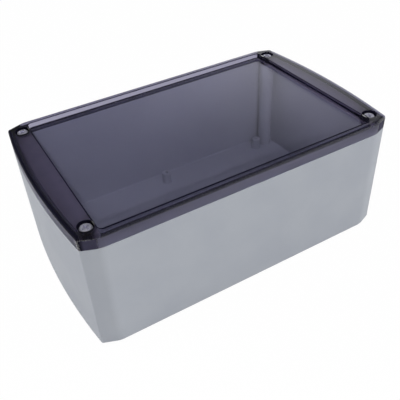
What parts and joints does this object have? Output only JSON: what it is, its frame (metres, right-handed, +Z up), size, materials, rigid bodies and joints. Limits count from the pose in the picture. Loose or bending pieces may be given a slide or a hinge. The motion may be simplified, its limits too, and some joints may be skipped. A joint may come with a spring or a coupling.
{
  "type": "electronics enclosure",
  "caption": "Long rectangular electronics enclosure: a grey tub with bowed ends and faceted corners under a clear smoke lid with a sunk window, held by corner screws.",
  "frame": {"origin": "middle of the underside", "axes": "+X along the length, +Y across the width to the rear, +Z up out of the lid"},
  "size_m": [0.198, 0.12, 0.077],
  "materials": {
    "tub_grey": "fine satin moulded texture",
    "lid_smoke": "clear smoke tint, polished",
    "gasket_foam": "moulded strip",
    "screw_steel": "bright stainless",
    "seal_rubber": "black moulded",
    "insert_brass": "knurled and turned"
  },
  "bodies": {
    "tub": {"base_tub": "tub_grey", "threaded_insert_front_left": "insert_brass", "threaded_insert_front_right": "insert_brass", "threaded_insert_rear_left": "insert_brass", "threaded_insert_rear_right": "insert_brass"},
    "lid": {"lid": "lid_smoke", "lid_gasket": "gasket_foam"},
    "seal_front_left": {"screw_seal_front_left": "seal_rubber"},
    "screw_front_left": {"lid_screw_front_left": "screw_steel"},
    "seal_front_right": {"screw_seal_front_right": "seal_rubber"},
    "screw_front_right": {"lid_screw_front_right": "screw_steel"},
    "seal_rear_left": {"screw_seal_rear_left": "seal_rubber"},
    "screw_rear_left": {"lid_screw_rear_left": "screw_steel"},
    "seal_rear_right": {"screw_seal_rear_right": "seal_rubber"},
    "screw_rear_right": {"lid_screw_rear_right": "screw_steel"}
  },
  "joints": [
    {"name": "lid_lift", "type": "slide", "parent": "tub", "child": "lid", "axis": [0, 0, 1], "range_m": [0, 0.12]},
    {"name": "screw_rise_front_left", "type": "slide", "parent": "lid", "child": "seal_front_left", "axis": [0, 0, 1], "range_m": [0, 0.0063]},
    {"name": "screw_turn_front_left", "type": "hinge", "parent": "seal_front_left", "child": "screw_front_left", "pos_m": [-0.088, -0.05, 0.0744], "axis": [0, 0, 1], "range_deg": [0, 3240.5]},
    {"name": "screw_rise_front_right", "type": "slide", "parent": "lid", "child": "seal_front_right", "axis": [0, 0, 1], "range_m": [0, 0.0063]},
    {"name": "screw_turn_front_right", "type": "hinge", "parent": "seal_front_right", "child": "screw_front_right", "pos_m": [0.088, -0.05, 0.0744], "axis": [0, 0, 1], "range_deg": [0, 3240.5]},
    {"name": "screw_rise_rear_left", "type": "slide", "parent": "lid", "child": "seal_rear_left", "axis": [0, 0, 1], "range_m": [0, 0.0063]},
    {"name": "screw_turn_rear_left", "type": "hinge", "parent": "seal_rear_left", "child": "screw_rear_left", "pos_m": [-0.088, 0.05, 0.0744], "axis": [0, 0, 1], "range_deg": [0, 3240.5]},
    {"name": "screw_rise_rear_right", "type": "slide", "parent": "lid", "child": "seal_rear_right", "axis": [0, 0, 1], "range_m": [0, 0.0063]},
    {"name": "screw_turn_rear_right", "type": "hinge", "parent": "seal_rear_right", "child": "screw_rear_right", "pos_m": [0.088, 0.05, 0.0744], "axis": [0, 0, 1], "range_deg": [0, 3240.5]}
  ],
  "couplings": [
    {"joint": "screw_turn_front_left", "follows": "screw_rise_front_left", "rad_per_m": 8976},
    {"joint": "screw_turn_front_right", "follows": "screw_rise_front_right", "rad_per_m": 8976},
    {"joint": "screw_turn_rear_left", "follows": "screw_rise_rear_left", "rad_per_m": 8976},
    {"joint": "screw_turn_rear_right", "follows": "screw_rise_rear_right", "rad_per_m": 8976}
  ]
}
